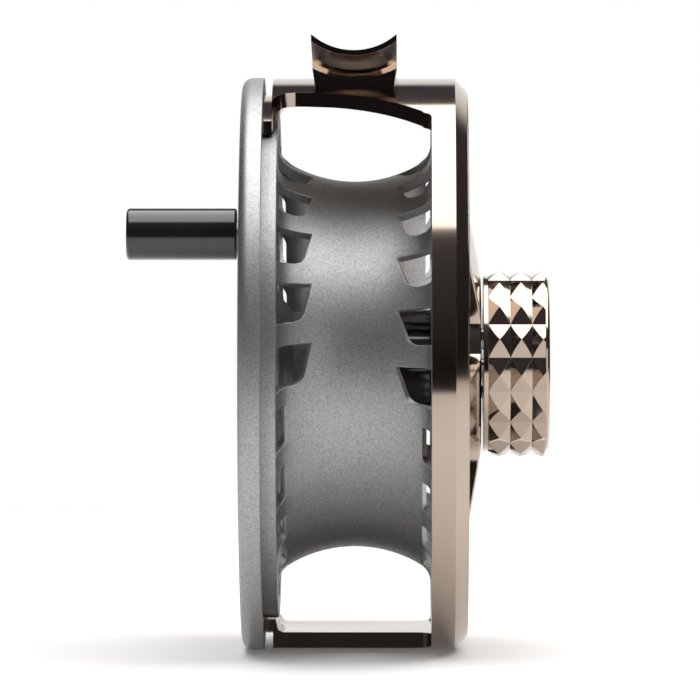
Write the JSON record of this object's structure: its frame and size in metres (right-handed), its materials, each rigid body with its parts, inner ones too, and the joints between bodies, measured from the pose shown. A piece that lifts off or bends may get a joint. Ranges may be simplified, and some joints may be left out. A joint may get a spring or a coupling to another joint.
{
  "type": "fly reel",
  "caption": "Large-arbor fly reel with an open cage frame, a ported spool with an outside palming rim, a sealed disc drag and a faceted drag knob.",
  "frame": {"origin": "middle of the foot's saddle, at its lowest line, where the foot meets the rod's reel seat", "axes": "+Z from the reel up into the rod, +X along the spindle from the handle side to the drag knob, +Y along the rod"},
  "size_m": [0.0654, 0.09, 0.0966],
  "materials": {
    "polished_metal": "polished warm grey anodising with fine turning lines",
    "blasted_metal": "bead-blasted grey anodising, fine even sparkle",
    "satin_black": "satin black anodising",
    "gloss_black": "gloss black",
    "steel": "turned stainless steel",
    "brass": "turned brass",
    "carbon": "woven carbon disc",
    "rubber": "moulded rubber",
    "plastic": "self-lubricating white plastic"
  },
  "bodies": {
    "frame": {"frame_cage": "polished_metal", "reel_foot": "polished_metal", "foot_screw_1": "steel", "foot_screw_2": "steel", "spindle": "steel", "drag_housing": "gloss_black", "click_plate": "blasted_metal", "housing_screw_1": "steel", "housing_screw_2": "steel", "housing_screw_3": "steel", "steel_disc_1": "steel", "steel_disc_2": "steel", "steel_disc_3": "steel", "cone_spring": "steel", "shaft_seal": "rubber", "housing_o_ring": "rubber", "pawl_pin": "steel", "pawl_spring": "steel", "knob_screw": "steel", "knob_washer": "plastic", "knob_detent_ball": "steel", "knob_detent_spring": "steel"},
    "spool": {"spool": "blasted_metal", "bearing_outboard": "steel", "bearing_spacer": "brass", "bearing_inboard": "steel", "one_way_clutch": "steel", "click_gear": "brass", "handle_post": "steel", "handle_washer": "steel", "handle_screw": "steel"},
    "handle_grip": {"handle_grip": "satin_black", "handle_bushing_inner": "plastic", "handle_bushing_outer": "plastic"},
    "drag_knob": {"drag_knob": "polished_metal"},
    "pressure_carrier": {"push_plate": "brass", "push_pin_1": "steel", "push_pin_2": "steel", "push_pin_3": "steel", "pressure_plate": "steel"},
    "drag_rotor": {"drag_rotor": "steel", "carbon_disc_1": "carbon", "carbon_disc_2": "carbon"},
    "click_pawl": {"click_pawl": "brass"},
    "spool_cap": {"spool_cap": "satin_black", "cap_o_ring": "rubber"}
  },
  "joints": [
    {"name": "spool_spin", "type": "hinge", "parent": "frame", "child": "spool", "pos_m": [0, 0, -0.0492], "axis": [1, 0, 0], "continuous": true},
    {"name": "handle_spin", "type": "hinge", "parent": "spool", "child": "handle_grip", "pos_m": [-0.026, -0.02618, -0.0283], "axis": [1, 0, 0], "continuous": true},
    {"name": "knob_turn", "type": "hinge", "parent": "frame", "child": "drag_knob", "pos_m": [0.025, 0, -0.0492], "axis": [1, 0, 0], "range_deg": [-150, 150]},
    {"name": "pressure_travel", "type": "slide", "parent": "frame", "child": "pressure_carrier", "axis": [1, 0, 0], "range_m": [-0.00026, 0.00026]},
    {"name": "rotor_spin", "type": "hinge", "parent": "frame", "child": "drag_rotor", "pos_m": [0, 0, -0.0492], "axis": [1, 0, 0], "continuous": true},
    {"name": "pawl_swing", "type": "hinge", "parent": "frame", "child": "click_pawl", "pos_m": [-0.0003, -0.007, -0.0382], "axis": [1, 0, 0], "range_deg": [0, 8], "stiffness_Nm_per_rad": 0.001, "springref_deg": -5.73},
    {"name": "cap_turn", "type": "hinge", "parent": "frame", "child": "spool_cap", "pos_m": [-0.016, 0, -0.0492], "axis": [1, 0, 0], "range_deg": [0, 90]}
  ],
  "couplings": [
    {"joint": "knob_turn", "follows": "pressure_travel", "rad_per_m": 10000},
    {"joint": "rotor_spin", "follows": "spool_spin", "ratio": 1}
  ]
}
